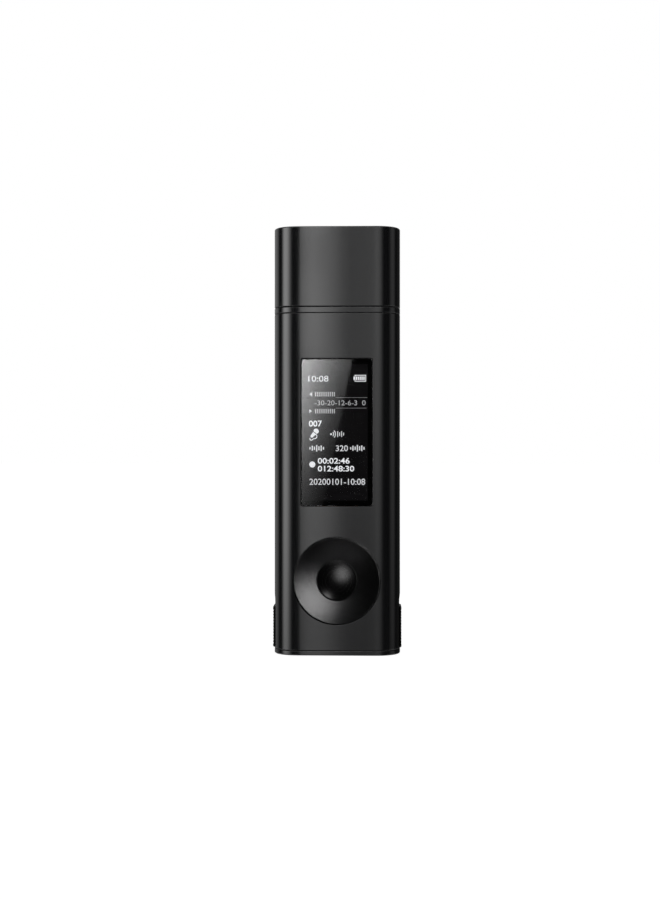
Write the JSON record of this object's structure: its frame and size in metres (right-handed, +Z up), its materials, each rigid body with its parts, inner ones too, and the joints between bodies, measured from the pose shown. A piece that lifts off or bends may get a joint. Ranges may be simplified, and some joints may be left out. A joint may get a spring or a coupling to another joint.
{
  "type": "pocket stick audio recorder",
  "caption": "Pocket stick voice recorder in black aluminium with a pull-off cap over a USB plug, a colour screen, a dished ring with a centre button and side slides.",
  "frame": {"origin": "middle of the bottom face of the end plate, on the surface that the recorder stands on", "axes": "+Z up its length towards the cap, -Y out of the front face with the screen, +X to the right of someone facing the screen"},
  "size_m": [0.0304, 0.014, 0.1],
  "materials": {
    "anodised_case": "black anodised, satin, with fine brushing along its length",
    "ring_black": "black anodised, fine turned satin",
    "slide_black": "black moulded, ribbed",
    "frame_black": "black moulded",
    "frame_grey": "dark grey glass-filled moulding",
    "plug_steel": "tin-plated, satin",
    "screw_steel": "black oxide",
    "bright_steel": "stamped and bright",
    "plug_white": "white moulded",
    "contact_gold": "gold plated",
    "lens_glass": "clear, hard coated and polished",
    "lens_ink": "black printed border",
    "foam_tape": "black foam tape",
    "display_black": "glossy dark panel",
    "flex_film": "amber film",
    "socket_cream": "cream moulded",
    "board_green": "green solder mask",
    "board_blue": "blue solder mask",
    "chip_black": "black epoxy",
    "crystal_can": "nickel plated can",
    "small_part_tan": "tan ceramic body",
    "cell_silver": "satin laminate",
    "wire_red": "red insulation",
    "cone_paper": "pressed paper",
    "mesh_black": "fine woven mesh",
    "rubber_black": "moulded",
    "lever_white": "natural moulded"
  },
  "bodies": {
    "case": {"body_shell": "anodised_case", "bottom_plate": "anodised_case", "bottom_screws": "screw_steel", "collar_ring": "anodised_case", "neck_frame": "frame_black", "usb_plug_shell": "plug_steel", "usb_tongue": "plug_white", "usb_contacts": "contact_gold", "screen_lens": "lens_glass", "lens_mask": "lens_ink", "lens_adhesive": "foam_tape", "display_panel": "display_black", "display_backlight": "bright_steel", "display_flex": "flex_film", "flex_connector": "socket_cream", "upper_chassis": "frame_grey", "lower_frame": "frame_grey", "main_board": "board_green", "board_screws": "bright_steel", "processor_chip": "chip_black", "memory_chip": "chip_black", "audio_chip": "chip_black", "clock_crystal": "crystal_can", "small_parts": "small_part_tan", "battery_cell": "cell_silver", "battery_board": "board_blue", "battery_wires": "wire_red", "speaker_frame": "frame_black", "speaker_cone": "cone_paper", "speaker_gasket": "foam_tape", "speaker_mesh": "mesh_black", "speaker_wires": "wire_red", "left_microphone": "crystal_can", "right_microphone": "crystal_can", "left_mic_boot": "rubber_black", "right_mic_boot": "rubber_black", "headphone_socket": "frame_black", "socket_contacts": "contact_gold", "key_frame": "bright_steel", "key_domes": "bright_steel", "left_switch_case": "bright_steel", "right_switch_case": "bright_steel"},
    "ring_pivot": {"rocker_cross": "bright_steel"},
    "ring": {"nav_ring": "ring_black"},
    "button": {"centre_button": "ring_black"},
    "left_switch": {"left_slide": "slide_black", "left_switch_lever": "lever_white"},
    "right_switch": {"right_slide": "slide_black", "right_switch_lever": "lever_white"},
    "cap": {"cap_shell": "anodised_case", "cap_liner": "frame_black"}
  },
  "joints": [
    {"name": "cap_pull", "type": "slide", "parent": "case", "child": "cap", "axis": [0, 0, 1], "range_m": [0, 0.025]},
    {"name": "ring_tilt_up_down", "type": "hinge", "parent": "case", "child": "ring_pivot", "pos_m": [0, -0.00365, 0.0174], "axis": [1, 0, 0], "range_deg": [-1.5, 1.5], "stiffness_Nm_per_rad": 0.2},
    {"name": "ring_tilt_side", "type": "hinge", "parent": "ring_pivot", "child": "ring", "pos_m": [0, -0.00365, 0.0174], "axis": [0, 0, 1], "range_deg": [-1.5, 1.5], "stiffness_Nm_per_rad": 0.2},
    {"name": "button_press", "type": "slide", "parent": "case", "child": "button", "axis": [0, 1, 0], "range_m": [0, 0.0002], "stiffness_N_per_m": 600},
    {"name": "left_slide_travel", "type": "slide", "parent": "case", "child": "left_switch", "axis": [0, 0, 1], "range_m": [0, 0.002]},
    {"name": "right_slide_travel", "type": "slide", "parent": "case", "child": "right_switch", "axis": [0, 0, 1], "range_m": [0, 0.002]}
  ]
}
